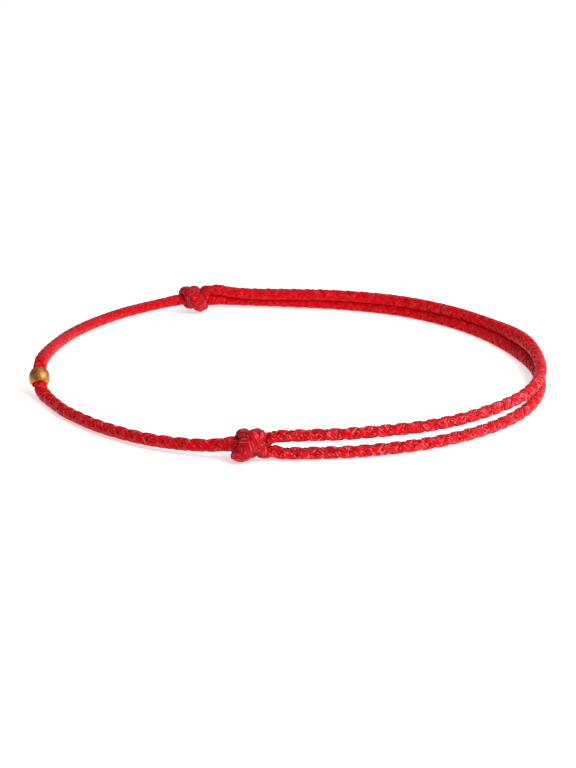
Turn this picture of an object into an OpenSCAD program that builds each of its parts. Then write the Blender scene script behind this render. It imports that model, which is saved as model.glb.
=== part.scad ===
// Adjustable braided cord bracelet with a bead, lying flat on its side.
// The loop's middle is the origin, +Z is up, and the surface that it lies on is Z = 0.
// Angles run round the loop from +X, and the bead's side is -X.

/* [Cord] */
// Diameter of the braided cord
cord_d = 1.3; // [1.2:0.05:1.4]
// Clearance between pieces that touch
clearance = 0.05; // [0.03:0.01:0.06]

/* [Loop] */
// Diameter of the loop, through the middle of the cord
loop_d = 60; // [54:1:66]

/* [Knots] */
// Width of the cord in a knot, where it is pulled flat
knot_cord_w = 1.1; // [1.06:0.01:1.12]
// Thickness of the cord in a knot
knot_cord_t = 0.8; // [0.78:0.01:0.82]
// Angle of the knot in front
front_knot_at = -97.3; // [-97.8:0.1:-96.8]
// Angle of the knot at the back
back_knot_at = 113.6; // [113.1:0.1:114.1]
// Height of the front knot's middle
front_knot_up = 1.74; // [1.73:0.01:1.76]
// Height of the back knot's middle
back_knot_up = 2.05; // [2.03:0.01:2.07]

/* [Bead] */
// Angle of the bead
bead_at = -166; // [-168:0.5:-164]
// Height of the bead's middle
bead_up = 1.95; // [1.93:0.01:1.97]
// Slope of the bead, whose end toward the back knot is the higher one
bead_tilt = 40; // [34:1:42]
// Turn of the bead from the loop's line, its lower end outward
bead_slant = 7; // [0:1:9]
// Largest diameter of the bead
bead_d = 2.4; // [2.3:0.05:2.6]
// Diameter of the bead's end faces
bead_face_d = 1.8; // [1.76:0.02:2]
// Length of the bead
bead_len = 1.9; // [1.7:0.1:2]
// Diameter of the bead's hole
bead_bore_d = 1.6; // [1.6:0.02:1.66]

/* [Detail] */
// Rings swept between two points of a route
steps = 3; // [2:1:4]
// Sides of a knot's cord
knot_sides = 10; // [8:2:12]

/* [Hidden] */

red = "#d2142a";
deep_red = "#b8122a";
gold = "#d9a441";

cord_sides = 8;
cord_r = cord_d / 2;
bead_r = bead_d / 2;
// Distance from the passing cord's middle to the middle of the turns that lie on it, with room for
// the flat steps between rings
first_layer_r = cord_r + 2 * clearance + knot_cord_t / 2;
// Diameter of the loop that the tables below are written for
table_loop_d = 60;
plan_scale = loop_d / table_loop_d;
plan_step = 30;
// Place that the loop's angles are measured from
plan_middle = [-0.49, -0.38];
// Straight length with which a strand runs into its knot
run_in = 0.5;
// Places along the bead's axis that the cord goes through, from the bead's middle
bead_reach = [-1.45, -0.9, 0.9, 1.45];
// Distance by which the cord lies off the bead's axis, toward the middle of the loop
bead_side = 0.1;
bead_fn = 96;

// Distance of the loop's line from the middle, one for each plan_step from -180 degrees
plan_reach = [29.3, 29.1, 29.5, 28.9, 29.7, 30.4, 29.8, 29.9, 30.4, 30.0, 30.9, 30.1];

// Columns of a cord's route: angle, distance outward from the loop's line, height of the cord's middle
ANGLE = 0;
OUTWARD = 1;
HEIGHT = 2;

// A row of the single stretch's route on a line beside the bead's axis, at a distance from its middle
function bead_row(along) =
    let (level = along * cos(bead_tilt))
    [
        bead_at + 360 + level * cos(bead_slant) / plan_at(bead_at) * 180 / PI,
        level * sin(bead_slant) - bead_side,
        bead_up - along * sin(bead_tilt)
    ];

// Single stretch, from the middle of the back knot to the middle of the front knot
single_route = [
    [113.6, 0, back_knot_up],
    [115.5, 0, 2.01],
    [117.4, 0, 1.92],
    [120.6, 0, 1.81],
    [128, -0.15, 1.69],
    [136, -0.2, 1.64],
    [147, -0.6, 1.72],
    [158, -1.05, 1.97],
    [168, -1.3, 2.32],
    [176, -1.25, 2.68],
    [183, -0.95, 3.0],
    [187, -0.68, 3.16],
    [189.7, -0.44, 3.2],
    for (along = bead_reach) bead_row(along),
    [198.4, -0.1, 0.68],
    [203, -0.25, 0.66],
    [208, -0.35, 0.67],
    [214, -0.4, 0.7],
    [226, -0.6, 0.78],
    [238, -0.5, 0.92],
    [247, -0.25, 1.08],
    [253.7, 0, 1.3],
    [257.5, 0, 1.54],
    [259.85, 0, 1.68],
    [262.7, 0, front_knot_up],
];

// Lower strand, from where it runs into the front knot to the middle of the back knot
lower_route = [
    [-90.65, 0, 0.77],
    [-84, 0, 0.76],
    [-74, 0, 0.74],
    [-60, 0, 0.69],
    [-45, 0, 0.65],
    [-30, 0, 0.65],
    [-15, 0, 0.65],
    [0, 0, 0.65],
    [15, -0.2, 0.65],
    [30, -0.3, 0.65],
    [45, -0.2, 0.65],
    [60, 0, 0.66],
    [75, 0.15, 0.7],
    [88, 0.3, 0.85],
    [98, 0.38, 1.02],
    [104.1, 0.3, 1.23],
    [107.9, 0.1, 1.44],
    [110, 0, 1.49],
    [111.2, 0, 1.87],
    [112.5, 0, 2.04],
    [113.6, 0, back_knot_up],
];

// Upper strand, from the middle of the front knot to where it runs into the back knot
upper_route = [
    [-97.3, 0, front_knot_up],
    [-96.07, 0, 1.76],
    [-94.93, 0, 1.89],
    [-93.97, 0, 2.2],
    [-92.93, 0, 2.49],
    [-90.65, 0, 2.62],
    [-84, 0, 2.71],
    [-76, 0, 2.72],
    [-60, 0, 2.64],
    [-46, 0, 2.66],
    [-30, 0, 2.6],
    [-15, 0, 2.6],
    [0, 0, 2.56],
    [15, 0.25, 2.28],
    [30, 0.32, 1.95],
    [45, 0.15, 1.98],
    [60, -0.05, 2.03],
    [75, -0.2, 2.04],
    [88, -0.35, 2.08],
    [98, -0.4, 2.18],
    [104.1, -0.3, 2.5],
    [107.3, -0.1, 2.86],
];

// Columns of a knot's route: place along the passing cord toward the doubled stretch, in widths of
// a turn; angle about the passing cord from the tied strand's side; layer of turns round it
ALONG = 0;
TURN = 1;
LAYER = 2;

// Overhand knot round a passing cord: two turns lie side by side on one side of it, and on the side
// that faces the viewer one turn rides over both the strand that comes in and the tail that goes out
knot_route = [
    [1.75, -10, -0.33],
    [1.32, -20, -0.14],
    [1.06, -50, 0],
    [0.91, -78, 0],
    [0.5, -104, 0],
    [-0.04, -128, 0],
    [-0.32, -151, 0],
    [-0.52, -185, 0],
    [-0.9, -270, 0],
    [-0.97, -350, 0],
    [-0.95, -388, 0.28],
    [-0.85, -409, 0.71],
    [-0.55, -428, 0.97],
    [-0.1, -456, 1],
    [0.43, -483, 0.93],
    [0.76, -501, 0.6],
    [0.85, -517, 0.31],
    [0.73, -539, 0.14],
    [0.38, -570, 0],
    [0.08, -640, 0],
    [0.08, -735, 0],
    [0.04, -764, 0],
    [-0.24, -785, 0],
    [-0.75, -802, 0],
    [-1.3, -810, 0.02],
    [-1.8, -814, 0.05],
];
// Rows of the route that the back knot has, whose tail is cut shorter
back_knot_rows = 25;

// Smooth curve through a list of points, as points with some steps between each two
function bend(a, b, c, d, t) =
    0.5 * ((2 * b) + (c - a) * t + (2 * a - 5 * b + 4 * c - d) * t * t + (3 * b - a - 3 * c + d) * t * t * t);
function curve(points, steps) =
    let (last = len(points) - 1)
    [
        for (i = [0 : last - 1], k = [0 : steps - 1])
            bend(points[max(i - 1, 0)], points[i], points[i + 1], points[min(i + 2, last)], k / steps),
        points[last]
    ];

// Distance of the loop's line from the middle at any angle, smooth and closed
function plan_at(angle) =
    let (
        count = len(plan_reach),
        place = (angle + 180) / plan_step,
        i = floor(place),
        near = [for (k = [-1 : 2]) plan_reach[(i + k + 2 * count) % count]]
    )
    plan_scale * bend(near[0], near[1], near[2], near[3], place - i);
function plan_point(angle, outward, height) =
    let (reach = plan_at(angle) + outward)
    [plan_middle[0] + reach * cos(angle), plan_middle[1] + reach * sin(angle), height];

// Direction of the loop's line at an angle, as degrees from +X
function heading(angle) =
    let (step = plan_point(angle + 1, 0, 0) - plan_point(angle - 1, 0, 0))
    atan2(step[1], step[0]);

// Points of a cord's route
function route_points(route) =
    [for (row = route) plan_point(row[ANGLE], row[OUTWARD], row[HEIGHT])];

// Points down the middle of a knot's cord, in the knot's own frame: X with growing angles, Y toward
// the middle of the loop. Way is 1 if the doubled stretch is toward +X, or else -1, rise is 1 if the
// tied strand comes in on the upper side, or else -1, and side is 1 if the riding turn is on the
// inside of the loop, or else -1.
function knot_line(rows, way, rise, side) =
    [
        for (row = curve([for (i = [0 : rows - 1]) knot_route[i]], steps))
            let (
                along = row[ALONG] * (knot_cord_w + clearance),
                reach = first_layer_r + row[LAYER] * (knot_cord_t + clearance)
            )
            [way * along, -side * reach * sin(row[TURN]), rise * reach * cos(row[TURN])]
    ];

// A point of a knot's own frame, once the knot is on the loop
function knot_point(p, at, up) =
    let (h = heading(at))
    plan_point(at, 0, up) + [p[0] * cos(h) - p[1] * sin(h), p[0] * sin(h) + p[1] * cos(h), p[2]];

// Two points with which a strand runs straight up to its knot's first face and stops a clearance
// short, the nearer one first
function run_in_points(at, up, way, rise, side) =
    let (
        line = knot_line(len(knot_route), way, rise, side),
        face = knot_point(line[0], at, up),
        outward = unit(face - knot_point(line[1], at, up))
    )
    [face + clearance * outward, face + (clearance + run_in) * outward];

// A line whose chosen ends stop a clearance short of where the next cord starts inside a knot
function shortened(line, at_start, at_end) =
    let (last = len(line) - 1)
    [
        for (i = [0 : last])
            line[i]
                + (i == 0 && at_start ? clearance : 0) * tangent(line, 0)
                - (i == last && at_end ? clearance : 0) * tangent(line, last)
    ];

function unit(v) = v / norm(v);
function tangent(line, i) = unit(line[min(i + 1, len(line) - 1)] - line[max(i - 1, 0)]);

// Oval ring of points square to a line, width across and thickness away from what it lies on
function ring(line, i, away, width, thickness, sides) =
    let (
        forward = tangent(line, i),
        across = unit(cross(forward, away)),
        up = cross(across, forward)
    )
    [
        for (k = [0 : sides - 1])
            let (a = 360 * k / sides - 90)
            line[i] + width / 2 * cos(a) * across + thickness / 2 * sin(a) * up
    ];

// Closed solid through rings of points
module swept(rings) {
    sides = len(rings[0]);
    walls = [
        for (i = [0 : len(rings) - 2], k = [0 : sides - 1])
            let (a = i * sides, b = a + sides, next = (k + 1) % sides)
            each [[a + k, b + k, b + next], [a + k, b + next, a + next]]
    ];
    first = [for (k = [0 : sides - 1]) k];
    last = [for (k = [sides - 1 : -1 : 0]) (len(rings) - 1) * sides + k];
    polyhedron(points = [for (r = rings) each r], faces = concat([first], walls, [last]));
}

// Round cord along a line that runs more or less level
module cord(line) {
    swept([for (i = [0 : len(line) - 1]) ring(line, i, [0, 0, 1], cord_d, cord_d, cord_sides)]);
}

// Cord pulled flat round the X axis, in turns
module wound_cord(line) {
    swept([
        for (i = [0 : len(line) - 1])
            ring(line, i, [0, line[i][1], line[i][2]], knot_cord_w, knot_cord_t, knot_sides)
    ]);
}

module cord_single() {
    color(red)
        cord(shortened(curve(route_points(single_route), steps), true, true));
}

module strand_lower() {
    ends = run_in_points(front_knot_at, front_knot_up, 1, -1, -1);
    color(red)
        cord(concat(
            [ends[0]],
            shortened(curve(concat([ends[1]], route_points(lower_route)), steps), false, true)
        ));
}

module strand_upper() {
    ends = run_in_points(back_knot_at, back_knot_up, -1, 1, 1);
    color(red)
        cord(concat(
            shortened(curve(concat(route_points(upper_route), [ends[1]]), steps), true, false),
            [ends[0]]
        ));
}

module knot_front() {
    color(deep_red)
        translate(plan_point(front_knot_at, 0, front_knot_up))
            rotate([0, 0, heading(front_knot_at)])
                wound_cord(knot_line(len(knot_route), 1, -1, -1));
}

module knot_back() {
    color(deep_red)
        translate(plan_point(back_knot_at, 0, back_knot_up))
            rotate([0, 0, heading(back_knot_at)])
                wound_cord(knot_line(back_knot_rows, -1, 1, 1));
}

module gold_bead() {
    // The barrel's side is an arc through the middle and the edge of each end face
    drop = (bead_d - bead_face_d) / 2;
    arc_r = (pow(bead_len / 2, 2) + drop * drop) / (2 * drop);
    color(gold)
        translate(plan_point(bead_at, 0, bead_up))
            rotate([0, 90 + bead_tilt, heading(bead_at) - bead_slant])
                rotate_extrude($fn = bead_fn)
                    difference() {
                        intersection() {
                            translate([bead_r - arc_r, 0])
                                circle(r = arc_r, $fn = bead_fn);
                            translate([0, -bead_len / 2])
                                square([bead_d, bead_len]);
                        }
                        translate([0, -bead_len])
                            square([bead_bore_d / 2, 2 * bead_len]);
                    }
}

cord_single();
strand_lower();
strand_upper();
knot_front();
knot_back();
gold_bead();
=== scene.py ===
"""Braided cord bracelet: the braid, its two overhand knots and the bead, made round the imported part."""

import math
from collections import namedtuple

import bpy
import numpy as np
from mathutils import Matrix, Vector


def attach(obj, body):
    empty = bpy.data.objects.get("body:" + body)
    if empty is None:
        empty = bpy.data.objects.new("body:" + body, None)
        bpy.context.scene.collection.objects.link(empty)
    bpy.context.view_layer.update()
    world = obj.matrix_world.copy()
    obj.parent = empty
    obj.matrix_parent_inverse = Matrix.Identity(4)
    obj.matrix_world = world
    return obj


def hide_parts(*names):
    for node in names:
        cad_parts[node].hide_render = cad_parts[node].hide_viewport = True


bl_info = {
    "name": "Braided Cord Bracelet",
    "version": (1, 0, 0),
    "blender": (4, 5, 0),
    "location": "3D View > Sidebar > Bracelet",
    "description": "Makes an adjustable braided cord bracelet with two overhand knots and a metal bead",
    "category": "Add Mesh",
}

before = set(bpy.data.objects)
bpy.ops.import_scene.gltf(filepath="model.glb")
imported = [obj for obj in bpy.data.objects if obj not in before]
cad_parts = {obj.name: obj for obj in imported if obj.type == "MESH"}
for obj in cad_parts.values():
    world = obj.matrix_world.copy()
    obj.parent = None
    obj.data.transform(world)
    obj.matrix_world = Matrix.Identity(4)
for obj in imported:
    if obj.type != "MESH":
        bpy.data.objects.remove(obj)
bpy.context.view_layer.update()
MM = 0.001
BODY = "root"

# Lengths from here to the first function are in millimetres, and angles in degrees, or as said

# The loop's plan: distance of its line from the middle, every 30 degrees from -180, as a least-squares
# fit to the photograph's outline gave it
PLAN_STEP = 30
PLAN_MIDDLE = (-0.49, -0.38)
PLAN_REACH = (29.3, 29.1, 29.5, 28.9, 29.7, 30.4, 29.8, 29.9, 30.4, 30.0, 30.9, 30.1)

# Places of the knots and the bead on the loop, in degrees from +X, and their heights
FRONT_KNOT_AT = -97.3
FRONT_KNOT_UP = 1.74
BACK_KNOT_AT = 113.6
BACK_KNOT_UP = 2.05
BEAD_AT = -166
BEAD_UP = 1.95
# Slope of the bead, whose end toward the back knot is the higher one, and its turn from the loop's line
BEAD_TILT = math.radians(40)
BEAD_SLANT = math.radians(7)
# Places along the bead's axis that the cord goes through, and how far it lies to the loop's inside of it
BEAD_REACH = (-1.45, -0.9, 0.9, 1.45)
BEAD_SIDE = 0.1

# Routes of the cord's stretches: angle, distance outward from the loop's line, height. The single
# stretch is cut in two, because the bead's own rows come between.
SINGLE_BEHIND_BEAD = (
    (BACK_KNOT_AT, 0, BACK_KNOT_UP),
    (115.5, 0, 2.01),
    (117.4, 0, 1.92),
    (120.6, 0, 1.81),
    (128, -0.15, 1.69),
    (136, -0.2, 1.64),
    (147, -0.6, 1.72),
    (158, -1.05, 1.97),
    (168, -1.3, 2.32),
    (176, -1.25, 2.68),
    (183, -0.95, 3.0),
    (187, -0.68, 3.16),
    (189.7, -0.44, 3.2),
)
SINGLE_BEFORE_BEAD = (
    (198.4, -0.1, 0.68),
    (203, -0.25, 0.66),
    (208, -0.35, 0.67),
    (214, -0.4, 0.7),
    (226, -0.6, 0.78),
    (238, -0.5, 0.92),
    (247, -0.25, 1.08),
    (253.7, 0, 1.3),
    (257.5, 0, 1.54),
    (259.85, 0, 1.68),
    (262.7, 0, FRONT_KNOT_UP),
)
LOWER_ROUTE = (
    (-90.65, 0, 0.77),
    (-84, 0, 0.76),
    (-74, 0, 0.74),
    (-60, 0, 0.69),
    (-45, 0, 0.65),
    (-30, 0, 0.65),
    (-15, 0, 0.65),
    (0, 0, 0.65),
    (15, -0.2, 0.65),
    (30, -0.3, 0.65),
    (45, -0.2, 0.65),
    (60, 0, 0.66),
    (75, 0.15, 0.7),
    (88, 0.3, 0.85),
    (98, 0.38, 1.02),
    (104.1, 0.3, 1.23),
    (107.9, 0.1, 1.44),
    (110, 0, 1.49),
    (111.2, 0, 1.87),
    (112.5, 0, 2.04),
    (BACK_KNOT_AT, 0, BACK_KNOT_UP),
)
UPPER_ROUTE = (
    (FRONT_KNOT_AT, 0, FRONT_KNOT_UP),
    (-96.07, 0, 1.76),
    (-94.93, 0, 1.89),
    (-93.97, 0, 2.2),
    (-92.93, 0, 2.49),
    (-90.65, 0, 2.62),
    (-84, 0, 2.71),
    (-76, 0, 2.72),
    (-60, 0, 2.64),
    (-46, 0, 2.66),
    (-30, 0, 2.6),
    (-15, 0, 2.6),
    (0, 0, 2.56),
    (15, 0.25, 2.28),
    (30, 0.32, 1.95),
    (45, 0.15, 1.98),
    (60, -0.05, 2.03),
    (75, -0.2, 2.04),
    (88, -0.35, 2.08),
    (98, -0.4, 2.18),
    (104.1, -0.3, 2.5),
    (107.3, -0.1, 2.86),
)

# Route of a knot: place along the passing cord in widths of a turn, angle about it, layer of turns
KNOT_ROUTE = (
    (1.75, -10, -0.33),
    (1.32, -20, -0.14),
    (1.06, -50, 0),
    (0.91, -78, 0),
    (0.5, -104, 0),
    (-0.04, -128, 0),
    (-0.32, -151, 0),
    (-0.52, -185, 0),
    (-0.9, -270, 0),
    (-0.97, -350, 0),
    (-0.95, -388, 0.28),
    (-0.85, -409, 0.71),
    (-0.55, -428, 0.97),
    (-0.1, -456, 1),
    (0.43, -483, 0.93),
    (0.76, -501, 0.6),
    (0.85, -517, 0.31),
    (0.73, -539, 0.14),
    (0.38, -570, 0),
    (0.08, -640, 0),
    (0.08, -735, 0),
    (0.04, -764, 0),
    (-0.24, -785, 0),
    (-0.75, -802, 0),
    (-1.3, -810, 0.02),
    (-1.8, -814, 0.05),
)
# The back knot has a tail that is one row shorter
BACK_KNOT_ROWS = len(KNOT_ROUTE) - 1
# Width and thickness of the cord in a knot, where it is pulled flat
KNOT_CORD_W = 1.1
KNOT_CORD_T = 0.8
# Gap between the solids, and the straight length with which a strand runs into its knot
CLEARANCE = 0.05
RUN_IN = 0.5
# Diameter of the solids' cord, and how far from its middle the first layer of turns round it lies
CORD_D = 1.3
FIRST_LAYER_R = CORD_D / 2 + 2 * CLEARANCE + KNOT_CORD_T / 2

# Four plies make the braid, two each way round, and four yarns lie side by side in each ply
PLY_WAYS = ((1, 0.0), (1, math.pi), (-1, 0.0), (-1, math.pi))
YARN_PLACES = (-1.5, -0.5, 0.5, 1.5)
YARN_SIDES = 8
# Distance between two rings of a yarn, and the steps drawn between two points of a route, here and in
# the solids
RING_STEP = 0.17
ROUTE_STEPS = 24
SOLID_STEPS = 3
# Rings to each side over which the rope's line, its way up and its other marks are averaged
LINE_REACH = 2
UP_REACH = 4
MARKS_REACH = 6
# A braided rope: per ring its length so far, middle, ways across and up, half width, half thickness,
# relief and shade; all its yarns, of which the core is the last; and each piece's first and last ring
Braid = namedtuple("Braid", "at line across up half_w half_t relief shade yarns pieces")
# Radius of the core under the plies, as a share of the cord's, at shares of the valleys' full depth
CORE_SHARES = ((0.3, 0.86), (0.5, 0.7), (1, 0.64))
# The pitch wanders along the rope by shares, and the way that the columns face by radians, as on a real
# cord: height of each wave, its length in millimetres for a radian, and its start
PITCH_WAVES = ((0.04, 7.3, 0), (0.03, 3.1, 1))
FACING_WAVES = ((0.18, 9.7, 2), (0.1, 4.3, 0))
# Share by which the pitch is shorter in a knot
KNOT_PITCH_CUT = 0.25

# Depth of the valleys between the plies at the loop's front and back, as shares
RELIEF = {
    "knot_front": (0.35, 0.35),
    "strand_lower": (1.0, 0.3),
    "cord_single": (0.5, 0.25),
    "strand_upper": (1.0, 0.3),
    "knot_back": (0.3, 0.3),
}
# The cord's fullness across and through, as shares: a tight knot presses its turns wide into every gap
INNER_TURN_FULLNESS = (1.38, 1.5)
OUTER_TURN_FULLNESS = (1.85, 1.3)
# Fullness of an untied stretch at angles round the loop: fuller inside the bead, at the knots, which
# spread it, and at the back right, where the two strands come to lie on each other
STRETCH_FULLNESS = (
    (-180, 1.14),
    (-171, 1.2),
    (-161, 1.2),
    (-155, 1.07),
    (-104, 1.07),
    (-101, 1.25),
    (-94.8, 1.22),
    (-92.6, 1.03),
    (-20, 1.03),
    (0, 1.08),
    (6, 1.18),
    (12, 1.32),
    (20, 1.3),
    (32, 1.13),
    (60, 1.11),
    (95, 1.11),
    (104, 1.05),
    (108, 1.12),
    (112, 1.18),
    (117, 1.2),
    (121, 1.06),
    (170, 1.08),
    (180, 1.14),
)
# How boxy a section is: 2 is an ellipse, a knot's turns are pressed boxy, and so are the two strands
# where they lie on each other, at these angles round the loop
KNOT_POWER = 3.6
STRETCH_POWER = ((0, 2), (25, 3), (100, 3), (108, 2))
# Distances toward the loop's front between which the relief changes from the back's to the front's
FRONT_FROM = -12
FRONT_TO = 14
# Share by which the valleys are filled on the cord's underside, which is pressed flat, and how soon the
# filling grows from the side to the underside
UNDERSIDE_FILL = 0.9
UNDERSIDE_GAIN = 1.4
# Share of painted shade by which the underside counts as deeper, and so darker, and how much of that an
# untied stretch has at shares of the valleys' full depth
UNDERSIDE_SHADE = 0.32
SHADE_SHARES = ((0.25, 0.3), (0.5, 1))
# Height below which the cord is pressed flat on the floor
FLOOR_PRESS = 0.12
# Length over which a cut end of the cord is melted round, and its thickness at the tip, as a share
MELTED_END = 0.45
MELTED_TIP = 0.03
# Share of its painted glints, pale specks for light caught on fibres: where the cord is free, and in the
# knots
FREE_GLINTS = 0.6
KNOT_GLINTS = 1.0

# The bead's section: its points, the turns that it is spun in, the powers that square it off along the
# bead and outward, and the distance within which points are merged
SECTION_POINTS = 64
SPIN_STEPS = 96
SQUARE_ALONG = 0.45
SQUARE_OUTWARD = 0.3
MERGE_MM = 0.00012

# The photograph's frame in pixels, and its camera as fitted to the loop
PHOTO_W = 576
PHOTO_H = 768
FOCAL_PX = 1726
AIM_PX = (285.65, 363.1)
AIM_MM = (-0.49, -0.38, 1.5)
CAMERA_DISTANCE = 205
CAMERA_UP_DEG = 17.2
SENSOR_MM = 36
NEAREST_MM = 5

# Width of the floor in metres, and how far it lies under the lowest point
FLOOR_SIZE = 6
FLOOR_DROP_MM = 0.02

# The room is dim on the bead's side and bright on the other
ROOM_STRENGTH = (0.2, 0.95)

# The key light is a softbox near the front right, so that the loop's left side is darker
KEY_MM = (125, -95, 135)
KEY_SIZE_MM = 150
KEY_WATTS = 0.46


def linear(colour):
    """sRGB hex colour as linear RGBA."""
    parts = [int(colour[i : i + 2], 16) / 255 for i in (1, 3, 5)]
    return tuple(c / 12.92 if c <= 0.04045 else ((c + 0.055) / 1.055) ** 2.4 for c in parts) + (1.0,)


def add_node(tree, kind, settings=None, inputs=None):
    """Adds a node with its own settings; an input is a value, or another node's output to link."""
    node = tree.nodes.new(kind)
    for name, value in (settings or {}).items():
        setattr(node, name, value)
    for name, value in (inputs or {}).items():
        if isinstance(value, bpy.types.NodeSocket):
            tree.links.new(value, node.inputs[name])
        else:
            node.inputs[name].default_value = value
    return node


def new_material(name):
    """An empty material and its node tree."""
    material = bpy.data.materials.new(name)
    material.use_nodes = True
    material.node_tree.nodes.clear()
    return material, material.node_tree


def set_ramp(node, stops):
    """Gives a ColorRamp node its stops, each a place and an sRGB hex colour."""
    ramp = node.color_ramp
    while len(ramp.elements) < len(stops):
        ramp.elements.new(1.0)
    for element, (place, colour) in zip(ramp.elements, stops):
        element.position = place
        element.color = linear(colour)


def braided_polyester(name, lit, deep, glint_share):
    """Dyed polyester yarn, braided: satin threads, with painted shade, bright on the crowns of the plies and
    dark between, and painted glints.
    """
    material, tree = new_material(name)
    uv = add_node(tree, "ShaderNodeUVMap", {"uv_map": "Yarn"})
    depth = add_node(tree, "ShaderNodeAttribute", {"attribute_name": "depth"})
    # Fibres are fine lines that wind round each yarn, 0.12 mm apart: coarser than real ones, to show
    fibres = add_node(
        tree,
        "ShaderNodeTexWave",
        {"wave_type": "BANDS", "bands_direction": "DIAGONAL", "wave_profile": "SIN"},
        {"Vector": uv.outputs["UV"], "Scale": 3.5, "Distortion": 1.2, "Detail": 2.0, "Detail Scale": 2.0},
    )
    # Wear dulls the yarn in patches about 0.6 mm long
    patches = add_node(
        tree,
        "ShaderNodeTexNoise",
        {"noise_dimensions": "3D"},
        {"Vector": uv.outputs["UV"], "Scale": 1.6, "Detail": 3.0, "Roughness": 0.6},
    )
    # Painted shade: the lit colour on the plies' crowns darkens to the deep colour between the plies and
    # under the cord
    shade = add_node(tree, "ShaderNodeValToRGB", inputs={"Fac": depth.outputs["Fac"]})
    set_ramp(shade, ((0.14, lit), (0.38, deep), (0.56, "#4a1812")))
    worn = add_node(tree, "ShaderNodeValToRGB", inputs={"Fac": patches.outputs["Fac"]})
    set_ramp(worn, ((0.32, "#a8847c"), (0.52, "#ffffff")))
    colour = add_node(
        tree,
        "ShaderNodeMix",
        {"data_type": "RGBA", "blend_type": "MULTIPLY"},
        {"Factor": 0.8, "A": shade.outputs["Color"], "B": worn.outputs["Color"]},
    )
    # Painted glints: pale pink specks about 0.4 mm long, a few on each yarn, for light caught on the fibres
    glint_noise = add_node(
        tree,
        "ShaderNodeTexNoise",
        {"noise_dimensions": "3D"},
        {"Vector": uv.outputs["UV"], "Scale": 2.6, "Detail": 1.0, "Roughness": 0.5},
    )
    # The painted glints follow the relief, so they are strongest at the loop's front
    glint_mask = add_node(tree, "ShaderNodeAttribute", {"attribute_name": "glint_mask"})
    painted_glints = add_node(
        tree,
        "ShaderNodeMapRange",
        {"interpolation_type": "SMOOTHSTEP"},
        {
            "Value": glint_noise.outputs["Fac"],
            "From Min": 0.53,
            "From Max": 0.68,
            "To Max": glint_mask.outputs["Fac"],
        },
    )
    share = add_node(
        tree, "ShaderNodeMath", {"operation": "MULTIPLY"}, {0: painted_glints.outputs["Result"], 1: glint_share}
    )
    glinted = add_node(
        tree,
        "ShaderNodeMix",
        {"data_type": "RGBA"},
        {"Factor": share.outputs["Value"], "A": colour.outputs["Result"], "B": linear("#f57488")},
    )
    bump = add_node(
        tree,
        "ShaderNodeBump",
        inputs={"Height": fibres.outputs["Fac"], "Strength": 0.5, "Distance": 0.00003},
    )
    shader = add_node(
        tree,
        "ShaderNodeBsdfPrincipled",
        inputs={
            "Base Color": glinted.outputs["Result"],
            "Normal": bump.outputs["Normal"],
            "Roughness": 0.36,
            "Specular IOR Level": 0.27,
            "Specular Tint": linear("#ff4c54"),
        },
    )
    add_node(tree, "ShaderNodeOutputMaterial", inputs={"Surface": shader.outputs["BSDF"]})
    return material


def gold_plated_brass():
    """Gold-plated brass, tumbled: a soft mirror with faint dents, and dull in the finest hollows."""
    material, tree = new_material("gold_plated_brass")
    place = add_node(tree, "ShaderNodeTexCoord")
    # Dents about 0.6 mm across, and tumbling marks about 0.1 mm across
    dents = add_node(
        tree,
        "ShaderNodeTexNoise",
        inputs={"Vector": place.outputs["Object"], "Scale": 1600.0, "Detail": 2.0},
    )
    marks = add_node(
        tree,
        "ShaderNodeTexNoise",
        inputs={"Vector": place.outputs["Object"], "Scale": 9000.0, "Detail": 3.0},
    )
    tone = add_node(tree, "ShaderNodeValToRGB", inputs={"Fac": dents.outputs["Fac"]})
    set_ramp(tone, ((0.35, "#985a26"), (0.6, "#c68c4c")))
    rough = add_node(
        tree,
        "ShaderNodeMapRange",
        inputs={"Value": marks.outputs["Fac"], "To Min": 0.36, "To Max": 0.5},
    )
    bump = add_node(
        tree,
        "ShaderNodeBump",
        inputs={"Height": dents.outputs["Fac"], "Strength": 0.3, "Distance": 0.00006},
    )
    shader = add_node(
        tree,
        "ShaderNodeBsdfPrincipled",
        inputs={
            "Base Color": tone.outputs["Color"],
            "Roughness": rough.outputs["Result"],
            "Normal": bump.outputs["Normal"],
            "Metallic": 1.0,
        },
    )
    add_node(tree, "ShaderNodeOutputMaterial", inputs={"Surface": shader.outputs["BSDF"]})
    return material


def white_card():
    """Matt white card, which the bracelet lies on: even, with a soft edge to every shadow."""
    material, tree = new_material("white_card")
    place = add_node(tree, "ShaderNodeTexCoord")
    # Faint clouding in patches of 2.5 mm, as in uncoated card
    grain = add_node(
        tree,
        "ShaderNodeTexNoise",
        inputs={"Vector": place.outputs["Object"], "Scale": 400.0, "Detail": 2.0},
    )
    tone = add_node(tree, "ShaderNodeValToRGB", inputs={"Fac": grain.outputs["Fac"]})
    set_ramp(tone, ((0.3, "#f6f6f5"), (0.7, "#f8f8f7")))
    shader = add_node(
        tree,
        "ShaderNodeBsdfPrincipled",
        inputs={
            "Base Color": tone.outputs["Color"],
            "Roughness": 0.9,
            "Specular IOR Level": 0.2,
            # The card is lit a little from below, as on a light table, so that its shadows stay pale
            "Emission Color": linear("#ffffff"),
            "Emission Strength": 0.5,
        },
    )
    add_node(tree, "ShaderNodeOutputMaterial", inputs={"Surface": shader.outputs["BSDF"]})
    return material


def bend(a, b, c, d, t):
    """Point a share t of the way from b to c, on a smooth curve through a, b, c and d."""
    square = (2 * a - 5 * b + 4 * c - d) * t**2
    cube = (3 * b - a - 3 * c + d) * t**3
    return 0.5 * (2 * b + (c - a) * t + square + cube)


def curve(points):
    """Smooth curve through rows of numbers, with ROUTE_STEPS steps between each two."""
    rows = np.array(points, float)
    last = len(rows) - 1
    shares = np.arange(ROUTE_STEPS)[:, None] / ROUTE_STEPS
    spans = [
        bend(rows[max(i - 1, 0)], rows[i], rows[i + 1], rows[min(i + 2, last)], shares)
        for i in range(last)
    ]
    return np.vstack(spans + [rows[last:]])


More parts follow.
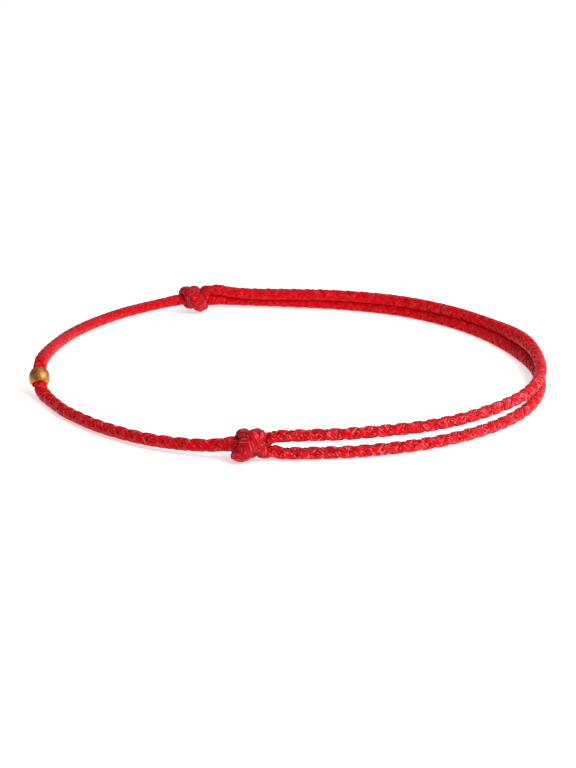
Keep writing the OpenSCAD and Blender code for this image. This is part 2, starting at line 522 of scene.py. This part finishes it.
def plan_point(angle, outward, height):
    """Point on the loop's line at an angle in degrees, in millimetres."""
    place = (angle + 180) / PLAN_STEP
    first = math.floor(place)
    near = [PLAN_REACH[(first + k) % len(PLAN_REACH)] for k in (-1, 0, 1, 2)]
    reach = bend(*near, place - first) + outward
    turn = math.radians(angle)
    x = PLAN_MIDDLE[0] + reach * math.cos(turn)
    y = PLAN_MIDDLE[1] + reach * math.sin(turn)
    return np.array([x, y, height])


def heading(angle):
    """Direction of the loop's line at an angle, in radians from +X."""
    step = plan_point(angle + 1, 0, 0) - plan_point(angle - 1, 0, 0)
    return math.atan2(step[1], step[0])


def unit(vectors):
    """Vectors of length one."""
    return vectors / np.linalg.norm(vectors, axis=-1, keepdims=True)


def knot_stretch(at, up, way, rise, side, rows):
    """Line of a knot's cord, which way is up on it, and how far it is on the outer layer of turns.

    The knot runs on round the loop where way is 1, and starts above the passing cord where rise is 1.
    A side of -1 mirrors its turns.
    """
    route = curve(KNOT_ROUTE[:rows])
    along = way * route[:, 0] * (KNOT_CORD_W + CLEARANCE)
    turn = np.radians(route[:, 1])
    reach = FIRST_LAYER_R + route[:, 2] * (KNOT_CORD_T + CLEARANCE)
    off = np.stack([0 * turn, -side * np.sin(turn), rise * np.cos(turn)], axis=1)
    ahead = heading(at)
    cos, sin = math.cos(ahead), math.sin(ahead)
    axes = np.array([[cos, sin, 0], [-sin, cos, 0], [0, 0, 1]])
    line = plan_point(at, 0, up) + (off * reach[:, None] + np.outer(along, (1, 0, 0))) @ axes
    return line, rise * off @ axes, np.clip(route[:, 2], 0, 1)


def run_in_points(line):
    """Two points with which a strand runs straight up to the first face of a knot's line."""
    outward = unit(line[0] - line[ROUTE_STEPS // SOLID_STEPS])
    return [line[0] + CLEARANCE * outward, line[0] + (CLEARANCE + RUN_IN) * outward]


def bead_row(along):
    """A row of the single stretch's route beside the bead's axis, at a distance from its middle."""
    level = along * math.cos(BEAD_TILT)
    reach = np.linalg.norm(plan_point(BEAD_AT, 0, 0)[:2] - PLAN_MIDDLE)
    angle = BEAD_AT + 360 + math.degrees(level * math.cos(BEAD_SLANT) / reach)
    return angle, level * math.sin(BEAD_SLANT) - BEAD_SIDE, BEAD_UP - along * math.sin(BEAD_TILT)


def route_points(route):
    """Points of a cord's route."""
    return [plan_point(*row) for row in route]


def whole_rope():
    """The rope from tail to tail.

    Gives each ring's length so far, place, way up and marks, and each piece's first and last ring. The
    marks are the share of knot, the fullness across and through, the swell, the relief and the power.
    """
    front, front_off, front_layer = knot_stretch(
        FRONT_KNOT_AT, FRONT_KNOT_UP, way=1, rise=-1, side=-1, rows=len(KNOT_ROUTE)
    )
    back, back_off, back_layer = knot_stretch(
        BACK_KNOT_AT, BACK_KNOT_UP, way=-1, rise=1, side=1, rows=BACK_KNOT_ROWS
    )
    front_run = run_in_points(front)
    back_run = run_in_points(back)
    lower = np.vstack([front_run[:1], curve([front_run[1]] + route_points(LOWER_ROUTE))])
    bead_rows = tuple(bead_row(along) for along in BEAD_REACH)
    single = curve(route_points(SINGLE_BEHIND_BEAD + bead_rows + SINGLE_BEFORE_BEAD))
    upper = np.vstack([curve(route_points(UPPER_ROUTE) + [back_run[1]]), back_run[:1]])
    # Name of each piece, rise of a knot, line, way up and layer of turns
    stretches = (
        ("knot_front", -1, front[::-1], front_off[::-1], front_layer[::-1]),
        ("strand_lower", 0, lower, None, None),
        ("cord_single", 0, single[1:], None, None),
        ("strand_upper", 0, upper[1:], None, None),
        ("knot_back", 1, back, back_off, back_layer),
    )
    lines, ups, marks = [], [], []
    for name, rise, line, off, layer in stretches:
        frontness = np.interp(-line[:, 1], (FRONT_FROM, FRONT_TO), (0, 1))
        relief = np.interp(frontness, (0, 1), RELIEF[name][::-1])
        if rise:
            inner = np.outer(INNER_TURN_FULLNESS, 1 - layer)
            wide, thick = inner + np.outer(OUTER_TURN_FULLNESS, layer)
            power = np.full(len(line), KNOT_POWER)
        else:
            angle = np.degrees(np.arctan2(line[:, 1] - PLAN_MIDDLE[1], line[:, 0] - PLAN_MIDDLE[0]))
            wide = thick = np.interp(angle, *zip(*STRETCH_FULLNESS))
            power = np.interp(angle, *zip(*STRETCH_POWER))
            off = np.tile((0.0, 0.0, 1.0), (len(line), 1))
        lines.append(line)
        ups.append(off)
        # A knot's turns swell toward what they lie on, and keep their outer faces
        swell = rise * (thick - 1) * KNOT_CORD_T / 2
        knot = np.full(len(line), abs(rise))
        marks.append(np.stack([knot, wide, thick, swell, relief, power], axis=1))
    line = np.vstack(lines)
    length = np.concatenate([[0], np.cumsum(np.linalg.norm(np.diff(line, axis=0), axis=1))])
    at = np.linspace(0, length[-1], int(length[-1] / RING_STEP))
    rows = np.hstack([line, np.vstack(ups), np.vstack(marks)])
    rows = np.stack([np.interp(at, length, column) for column in rows.T], axis=1)
    # Each piece ends halfway between its last point and the next piece's first
    sizes = np.cumsum([len(part) for part in lines])
    cuts = [np.abs(at - (length[k - 1] + length[k]) / 2).argmin() for k in sizes[:-1]]
    cuts = [0] + cuts + [len(at) - 1]
    pieces = {row[0]: (cuts[k], cuts[k + 1]) for k, row in enumerate(stretches)}
    line = smooth(rows[:, :3], LINE_REACH)
    up = smooth(rows[:, 3:6], UP_REACH)
    return at, line, up, smooth(rows[:, 6:], MARKS_REACH), pieces


def smooth(rows, reach):
    """Each row averaged with its neighbours to some reach, with the ends held."""
    padded = np.vstack([np.repeat(rows[:1], reach, axis=0), rows, np.repeat(rows[-1:], reach, axis=0)])
    sums = [padded[k : k + len(rows)] for k in range(2 * reach + 1)]
    mean = sum(sums) / len(sums)
    mean[0], mean[-1] = rows[0], rows[-1]
    return mean


def wander(at, waves):
    """Sum of slow waves along the rope, each with a height, a length and a start."""
    return sum(height * np.sin(at / length + start) for height, length, start in waves)


def braid_lines(settings):
    """The whole braid: for each yarn its line, the way off the rope's middle, and its radius."""
    at, line, up, marks, pieces = whole_rope()
    knot, wide, thick, swell, relief, power = marks.T
    forward = unit(np.gradient(line, axis=0))
    across = unit(np.cross(forward, up))
    up = np.cross(across, forward)
    cord_r = settings.cord_d / 2 / MM
    from_end = np.minimum(np.minimum(at, at[-1] - at) / MELTED_END, 1)
    melted = np.sqrt(1 - (1 - from_end) ** 2) * (1 - MELTED_TIP) + MELTED_TIP
    half_w = (cord_r * (1 - knot) + KNOT_CORD_W / 2 * knot) * wide * melted
    half_t = (cord_r * (1 - knot) + KNOT_CORD_T / 2 * knot) * thick * melted
    line = line - up * swell[:, None]
    squeeze = np.sqrt(half_w * half_t) / cord_r
    yarn_r = settings.yarn_d / 2 / MM * squeeze
    pitch = settings.pitch / MM * (1 - KNOT_PITCH_CUT * knot) * (1 + wander(at, PITCH_WAVES))
    phase = settings.start_phase + 2 * math.pi * np.concatenate([[0], np.cumsum(np.diff(at) / pitch[1:])])
    facing = settings.column_turn + wander(at, FACING_WAVES)
    outer = 1 - settings.yarn_d / 2 / MM / cord_r
    inner = outer - (outer - settings.inner_share) * relief
    yarns = []
    for way, start in PLY_WAYS:
        # A ply of one way lies over where those of the other way lie under, twice in each turn
        turn = way * phase + start
        angle = turn + facing
        out = across * np.cos(angle)[:, None] + up * np.sin(angle)[:, None]
        under = np.clip(-UNDERSIDE_GAIN * out[:, 2], 0, 1) * UNDERSIDE_FILL * (1 - knot)
        low = inner + (outer - inner) * under
        share = (outer + low) / 2 - way * (outer - low) / 2 * np.cos(2 * turn)
        share = share * (np.abs(np.cos(angle)) ** power + np.abs(np.sin(angle)) ** power) ** (-1 / power)
        aside = share * np.cos(angle)
        above = share * np.sin(angle)
        ply = line + across * (half_w * aside)[:, None] + up * (half_t * above)[:, None]
        off = unit(across * (aside / half_w)[:, None] + up * (above / half_t)[:, None])
        side = unit(np.cross(unit(np.gradient(ply, axis=0)), off))
        for place in YARN_PLACES:
            moved = ply - line + side * (place * settings.yarn_gap / MM * squeeze)[:, None]
            aside = (moved * across).sum(axis=1) / half_w
            above = (moved * up).sum(axis=1) / half_t
            onward = (moved * forward).sum(axis=1)
            # The ply's outer yarns are held down, so that they wrap round the cord
            hold = (share / np.hypot(aside, above)) ** settings.wrap
            yarn = line + across * (half_w * aside * hold)[:, None] + up * (half_t * above * hold)[:, None]
            yarns.append((yarn + forward * onward[:, None], off, yarn_r))
    core_r = np.interp(relief, *zip(*CORE_SHARES)) * cord_r * squeeze
    yarns.append((line, up, core_r))
    # Painted shade under the cord: full in the knots and where the relief is full, less where it is low
    shade = UNDERSIDE_SHADE * np.maximum(np.interp(relief, *zip(*SHADE_SHARES)), knot)
    return Braid(at, line, across, up, half_w, half_t, relief, shade, yarns, pieces)


def tube(line, off, radius, sides):
    """Points of a round tube along a line, one ring for each point of the line."""
    forward = unit(np.gradient(line, axis=0))
    side = unit(np.cross(forward, off))
    out = np.cross(side, forward)
    angle = 2 * math.pi * np.arange(sides) / sides
    ring = np.cos(angle)[None, :, None] * out[:, None, :] + np.sin(angle)[None, :, None] * side[:, None, :]
    return line[:, None, :] + ring * radius[:, None, None]


def tube_faces(rings, sides):
    """Faces of a tube's wall and of its two ends, as rows of corners."""
    first = np.arange(rings - 1)[:, None] * sides
    side = np.arange(sides)[None, :]
    beside = (side + 1) % sides
    walls = np.stack([first + side, first + beside, first + sides + beside, first + sides + side], axis=-1)
    caps = np.array([range(sides - 1, -1, -1), range((rings - 1) * sides, rings * sides)])
    return walls.reshape(-1, 4), caps


def wall_coords(along, sides):
    """UV of each corner of a tube's wall: millimetres along the rope, and turns round the tube."""
    ring = np.arange(len(along) - 1)[:, None]
    side = np.arange(sides)[None, :]
    u = np.stack([along[ring], along[ring], along[ring + 1], along[ring + 1]], axis=-1)
    # The last face of each ring takes the turn on past one, so that the pattern closes at the seam
    v = np.stack([side, side + 1, side + 1, side], axis=-1) / sides
    shape = (len(along) - 1, sides, 4)
    return np.stack([np.broadcast_to(u, shape).ravel(), np.broadcast_to(v, shape).ravel()], axis=1)


def press_on_floor(points):
    """Presses flat, just above the floor, what would sink into it."""
    low = points[:, 2] < FLOOR_PRESS
    points[low, 2] = FLOOR_PRESS * np.exp(points[low, 2] / FLOOR_PRESS - 1)
    return points


def new_mesh(name, points, corners, counts):
    """A mesh from its points in millimetres, all its faces' corners in a row, and how many each has."""
    mesh = bpy.data.meshes.new(name)
    mesh.vertices.add(len(points))
    mesh.vertices.foreach_set("co", (points * MM).astype(np.float32).ravel())
    mesh.loops.add(len(corners))
    mesh.loops.foreach_set("vertex_index", corners.astype(np.int32))
    mesh.polygons.add(len(counts))
    mesh.polygons.foreach_set("loop_start", (np.cumsum(counts) - counts).astype(np.int32))
    mesh.update(calc_edges=True)
    return mesh


def set_values(mesh, name, values):
    """Gives a mesh a number at each point, which its material reads."""
    attribute = mesh.attributes.new(name, "FLOAT", "POINT")
    attribute.data.foreach_set("value", np.concatenate(values).astype(np.float32))


def rope_piece(name, braid, material):
    """One piece of the rope: all its yarns and its core in one mesh, closed at the ends."""
    first, last = braid.pieces[name]
    pick = slice(first, last + 1)
    along = braid.at[pick]
    rings = len(along)
    walls, caps = tube_faces(rings, YARN_SIDES)
    wall_uvs = wall_coords(along, YARN_SIDES)
    cap_u = np.repeat(along[[0, -1]], YARN_SIDES)
    points, corners, uvs, shade_depths, glint_masks = [], [], [], [], []
    for number, (middle, off, radius) in enumerate(braid.yarns):
        tubes = tube(middle, off, radius, YARN_SIDES)[pick]
        start = number * rings * YARN_SIDES
        points.append(tubes.reshape(-1, 3))
        corners += [walls.ravel() + start, caps.ravel() + start]
        uvs += [wall_uvs + (0, number), np.stack([cap_u, np.full(len(cap_u), number)], axis=1)]
        # Painted shade: a point counts as deep, so darker, by how far in from the cord's outline it lies,
        # and how far below
        moved = tubes - braid.line[pick][:, None, :]
        aside = (moved * braid.across[pick][:, None, :]).sum(axis=2) / braid.half_w[pick][:, None]
        above = (moved * braid.up[pick][:, None, :]).sum(axis=2) / braid.half_t[pick][:, None]
        below = np.clip(-moved[:, :, 2] / np.linalg.norm(moved, axis=2), 0, 1)
        below = below * braid.shade[pick][:, None]
        shade_depths.append(np.clip(1 - np.hypot(aside, above) + below, 0, 1).ravel())
        # Mask of the painted glints: the relief, fullest at the loop's front
        glint_masks.append(np.repeat(braid.relief[pick], YARN_SIDES))
    counts = np.tile([4] * len(walls) + [YARN_SIDES] * len(caps), len(braid.yarns))
    mesh = new_mesh(name, press_on_floor(np.concatenate(points)), np.concatenate(corners), counts)
    mesh.uv_layers.new(name="Yarn").data.foreach_set("uv", np.concatenate(uvs).astype(np.float32).ravel())
    set_values(mesh, "depth", shade_depths)
    set_values(mesh, "glint_mask", glint_masks)
    if mesh.validate():
        raise RuntimeError(f"The mesh of {name} needed repairs")
    mesh.shade_smooth()
    mesh.materials.append(material)
    piece = bpy.data.objects.new(name + "_braid", mesh)
    bpy.context.collection.objects.link(piece)
    return piece


class CordSettings(bpy.types.PropertyGroup):
    """Sizes and colours of the braided cord."""

    cord_d: bpy.props.FloatProperty(
        name="Cord diameter", description="Diameter of the braided cord", default=1.33 * MM, unit="LENGTH"
    )
    yarn_d: bpy.props.FloatProperty(
        name="Yarn diameter", description="Diameter of one yarn of a ply", default=0.28 * MM, unit="LENGTH"
    )
    yarn_gap: bpy.props.FloatProperty(
        name="Yarn spacing",
        description="Spacing of the yarns that lie side by side",
        default=0.22 * MM,
        unit="LENGTH",
    )
    pitch: bpy.props.FloatProperty(
        name="Pitch",
        description="Length in which a ply goes once round the cord",
        default=3.7 * MM,
        unit="LENGTH",
    )
    start_phase: bpy.props.FloatProperty(
        name="Start", description="Turn of the plies at the front knot's tail", default=0.0, subtype="ANGLE"
    )
    inner_share: bpy.props.FloatProperty(
        name="Inner reach", description="Reach of a ply where it passes under, as a share", default=0.3
    )
    column_turn: bpy.props.FloatProperty(
        name="Facing", description="Way that the braid's columns face", default=0.3, subtype="ANGLE"
    )
    wrap: bpy.props.FloatProperty(
        name="Wrap", description="How far a ply's outer yarns wrap round the cord", default=0.85
    )
    lit: bpy.props.StringProperty(name="Colour", description="Colour of the yarn", default="#c8050f")
    # The deep colours are painted shade, between the plies and under the cord
    deep: bpy.props.StringProperty(
        name="Deep colour", description="Colour between the plies", default="#8c2a20"
    )
    knot_lit: bpy.props.StringProperty(
        name="Knot colour", description="Colour of the yarn in the tight knots", default="#b00f16"
    )
    # Painted shade of the knots, between their plies and under them
    knot_deep: bpy.props.StringProperty(
        name="Knot's deep colour", description="Colour between the knots' plies", default="#742820"
    )


class BeadSettings(bpy.types.PropertyGroup):
    """Sizes of the bead."""

    diameter: bpy.props.FloatProperty(
        name="Diameter", description="Largest diameter of the bead", default=2.4 * MM, unit="LENGTH"
    )
    face_d: bpy.props.FloatProperty(
        name="Face diameter", description="Diameter of the bead's end faces", default=1.8 * MM, unit="LENGTH"
    )
    length: bpy.props.FloatProperty(
        name="Length", description="Length of the bead along the cord", default=1.9 * MM, unit="LENGTH"
    )
    bore_d: bpy.props.FloatProperty(
        name="Bore", description="Diameter of the bead's hole", default=1.6 * MM, unit="LENGTH"
    )


class BRACELET_OT_stage(bpy.types.Operator):
    """Adds the floor, the lights and the camera at the photograph's angle"""

    bl_idname = "bracelet.stage"
    bl_label = "Stage"

    def execute(self, context):
        bpy.ops.mesh.primitive_plane_add(size=FLOOR_SIZE, location=(0, 0, -FLOOR_DROP_MM * MM))
        floor = context.object
        floor.name = "floor"
        floor.data.materials.append(white_card())

        scene = context.scene
        scene.view_settings.view_transform = "Standard"
        scene.world = bpy.data.worlds.new("studio")
        scene.world.use_nodes = True
        background = scene.world.node_tree.nodes["Background"]
        background.inputs["Color"].default_value = linear("#f4f5f8")
        sky = scene.world.node_tree
        look = add_node(sky, "ShaderNodeTexCoord")
        parts = add_node(sky, "ShaderNodeSeparateXYZ", inputs={"Vector": look.outputs["Generated"]})
        strength = add_node(
            sky,
            "ShaderNodeMapRange",
            inputs={
                "Value": parts.outputs["X"],
                "From Min": -1.0,
                "From Max": 1.0,
                "To Min": ROOM_STRENGTH[0],
                "To Max": ROOM_STRENGTH[1],
            },
        )
        sky.links.new(strength.outputs["Result"], background.inputs["Strength"])

        bpy.ops.object.light_add(type="AREA", location=Vector(KEY_MM) * MM)
        key = context.object
        key.name = "key_light"
        key.rotation_euler = (-key.location).to_track_quat("-Z", "Y").to_euler()
        key.data.size = KEY_SIZE_MM * MM
        key.data.energy = KEY_WATTS

        up = math.radians(CAMERA_UP_DEG)
        aim = Vector(AIM_MM) * MM
        place = aim + Vector((0, -math.cos(up), math.sin(up))) * CAMERA_DISTANCE * MM
        bpy.ops.object.camera_add(location=place, rotation=(math.pi / 2 - up, 0, 0))
        camera = context.object
        camera.name = "camera"
        camera.data.sensor_fit = "HORIZONTAL"
        camera.data.sensor_width = SENSOR_MM
        camera.data.lens = FOCAL_PX / PHOTO_W * SENSOR_MM
        camera.data.shift_x = (PHOTO_W / 2 - AIM_PX[0]) / PHOTO_W
        camera.data.shift_y = (AIM_PX[1] - PHOTO_H / 2) / PHOTO_W
        camera.data.clip_start = NEAREST_MM * MM
        scene.camera = camera
        return {"FINISHED"}


class BRACELET_OT_rope(bpy.types.Operator):
    """Braids the whole rope, and makes its three stretches and its two knots as pieces of it"""

    bl_idname = "bracelet.rope"
    bl_label = "Braided Rope"

    def execute(self, context):
        settings = context.scene.bracelet_cord
        braid = braid_lines(settings)
        free = braided_polyester("braided_polyester", settings.lit, settings.deep, FREE_GLINTS)
        tied = braided_polyester("knotted_polyester", settings.knot_lit, settings.knot_deep, KNOT_GLINTS)
        for name in ("cord_single", "strand_lower", "strand_upper"):
            piece = rope_piece(name, braid, free)
            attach(piece, BODY)
            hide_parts(name)
        for name in ("knot_front", "knot_back"):
            piece = rope_piece(name, braid, tied)
            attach(piece, BODY)
            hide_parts(name)
        return {"FINISHED"}


class BRACELET_OT_bead(bpy.types.Operator):
    """Turns the barrel bead from a rounded section"""

    bl_idname = "bracelet.bead"
    bl_label = "Gold Bead"

    def execute(self, context):
        settings = context.scene.bracelet_bead
        half_l = settings.length / 2
        inner = settings.bore_d / 2
        drop = (settings.diameter - settings.face_d) / 2
        bpy.ops.object.select_all(action="DESELECT")
        bpy.ops.mesh.primitive_circle_add(vertices=SECTION_POINTS, radius=1)
        bead = context.object
        bead.name = "gold_bead_barrel"
        for vertex in bead.data.vertices:
            turn = math.atan2(vertex.co.y, vertex.co.x)
            along = math.copysign(abs(math.cos(turn)) ** SQUARE_ALONG, math.cos(turn))
            out = math.copysign(abs(math.sin(turn)) ** SQUARE_OUTWARD, math.sin(turn))
            x = along * half_l
            top = settings.diameter / 2 - drop * (x / half_l) ** 2
            radius = (top + inner) / 2 + out * (top - inner) / 2
            vertex.co = (x, 0, radius)
        bpy.ops.object.mode_set(mode="EDIT")
        bpy.ops.mesh.select_all(action="SELECT")
        bpy.ops.mesh.spin(steps=SPIN_STEPS, angle=2 * math.pi, center=(0, 0, 0), axis=(1, 0, 0))
        bpy.ops.mesh.select_all(action="SELECT")
        bpy.ops.mesh.remove_doubles(threshold=MERGE_MM * MM)
        bpy.ops.mesh.normals_make_consistent(inside=False)
        bpy.ops.object.mode_set(mode="OBJECT")
        bpy.ops.object.shade_smooth()
        bead.data.transform(
            Matrix.Translation(Vector(plan_point(BEAD_AT, 0, BEAD_UP)) * MM)
            @ Matrix.Rotation(heading(BEAD_AT) - BEAD_SLANT, 4, "Z")
            @ Matrix.Rotation(BEAD_TILT, 4, "Y")
        )
        bead.data.materials.clear()
        bead.data.materials.append(gold_plated_brass())
        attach(bead, BODY)
        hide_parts("gold_bead")
        return {"FINISHED"}


class BRACELET_PT_panel(bpy.types.Panel):
    """Lists the bracelet's operators and settings"""

    bl_idname = "BRACELET_PT_panel"
    bl_label = "Braided Cord Bracelet"
    bl_space_type = "VIEW_3D"
    bl_region_type = "UI"
    bl_category = "Bracelet"

    def draw(self, context):
        layout = self.layout
        for kind in OPERATORS:
            layout.operator(kind.bl_idname)
        for settings in (context.scene.bracelet_cord, context.scene.bracelet_bead):
            for name in settings.__annotations__:
                layout.prop(settings, name)


OPERATORS = (BRACELET_OT_stage, BRACELET_OT_rope, BRACELET_OT_bead)
CLASSES = (CordSettings, BeadSettings) + OPERATORS + (BRACELET_PT_panel,)


def register():
    """Registers the classes and the settings that the scene holds."""
    for kind in CLASSES:
        bpy.utils.register_class(kind)
    bpy.types.Scene.bracelet_cord = bpy.props.PointerProperty(type=CordSettings)
    bpy.types.Scene.bracelet_bead = bpy.props.PointerProperty(type=BeadSettings)


def unregister():
    """Takes the settings and the classes away again."""
    del bpy.types.Scene.bracelet_cord
    del bpy.types.Scene.bracelet_bead
    for kind in reversed(CLASSES):
        bpy.utils.unregister_class(kind)


def main():
    """Makes the stage and all the pieces."""
    register()
    bpy.ops.bracelet.stage()
    bpy.ops.bracelet.rope()
    bpy.ops.bracelet.bead()


if __name__ == "__main__":
    main()
